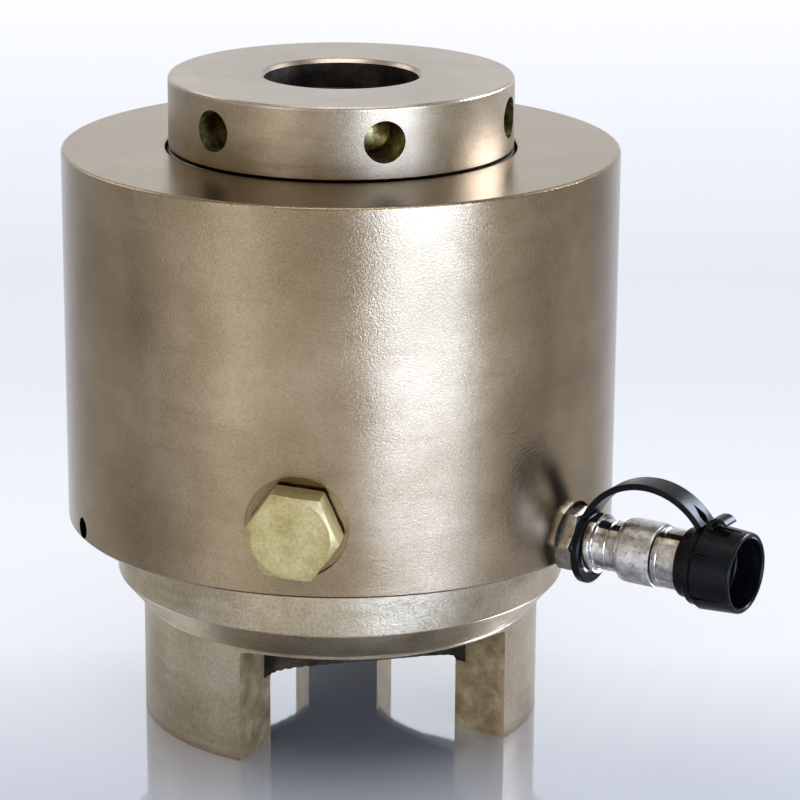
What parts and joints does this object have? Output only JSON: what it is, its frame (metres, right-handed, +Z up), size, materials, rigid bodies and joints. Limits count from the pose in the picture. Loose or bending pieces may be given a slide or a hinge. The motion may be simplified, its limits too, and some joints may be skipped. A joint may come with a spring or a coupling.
{
  "type": "hydraulic bolt tensioner",
  "caption": "Round hydraulic bolt tensioner with a legged bridge, a cylinder body, a threaded puller ring, a blanking plug and a capped quick coupler.",
  "frame": {"origin": "on the tool axis, in the plane of the feet", "axes": "+Z up along the stud, -Y towards the side with the blanking plug, +X to the right seen from there"},
  "size_m": [0.2544, 0.2183, 0.243],
  "materials": {
    "nickel": "satin nickel plate, fine grained",
    "nickel_dark": "satin nickel plate, browner",
    "steel": "ground",
    "black_steel": "black oxide",
    "spring_steel": "oiled",
    "chrome": "polished",
    "zinc": "worn bright plating",
    "plug_zinc": "satin pale olive plating",
    "black_rubber": "matte",
    "seal": "smooth",
    "backup": "smooth",
    "guide": "smooth",
    "cap_rubber": "semi-gloss"
  },
  "bodies": {
    "tool_body": {"bridge": "nickel_dark", "cylinder_body": "nickel", "set_screws": "black_steel", "gland_ring": "steel", "gland_o_ring": "black_rubber", "gland_rod_seal": "seal", "return_disc_springs": "spring_steel", "wiper_ring": "black_rubber", "blanking_plug": "plug_zinc", "plug_seal": "steel", "hex_adaptor": "zinc", "adaptor_seal": "steel", "coupler_body": "zinc", "coupler_nose": "zinc", "nose_o_ring": "black_rubber", "sleeve_spring": "spring_steel", "locking_balls": "chrome", "valve_spring": "spring_steel", "strap_neck_ring": "cap_rubber", "strap": "cap_rubber"},
    "piston_assembly": {"piston": "steel", "piston_seal": "seal", "piston_backup_ring": "backup", "piston_guide_band": "guide"},
    "puller_assembly": {"puller": "nickel", "puller_retaining_ring": "spring_steel"},
    "sleeve": {"locking_sleeve": "zinc"},
    "poppet": {"valve_poppet": "zinc"},
    "cap": {"dust_cap": "cap_rubber", "strap_cap_ring": "cap_rubber"}
  },
  "joints": [
    {"name": "piston_lift", "type": "slide", "parent": "tool_body", "child": "piston_assembly", "axis": [0, 0, 1], "range_m": [0, 0.012], "stiffness_N_per_m": 50000, "springref_m": -0.004, "deforming": ["return_disc_springs"]},
    {"name": "puller_turn", "type": "hinge", "parent": "piston_assembly", "child": "puller_assembly", "pos_m": [0, 0, 0.216], "axis": [0, 0, 1], "continuous": true},
    {"name": "sleeve_slide", "type": "slide", "parent": "tool_body", "child": "sleeve", "axis": [-0.8387, 0.5446, 0], "range_m": [0, 0.0035], "stiffness_N_per_m": 2000, "springref_m": -0.002, "deforming": ["sleeve_spring"]},
    {"name": "poppet_slide", "type": "slide", "parent": "tool_body", "child": "poppet", "axis": [-0.8387, 0.5446, 0], "range_m": [0, 0.003], "stiffness_N_per_m": 1500, "springref_m": -0.002, "deforming": ["valve_spring"]},
    {"name": "cap_pull", "type": "slide", "parent": "tool_body", "child": "cap", "axis": [0.8387, -0.5446, 0], "range_m": [0, 0.012], "deforming": ["strap"]}
  ]
}
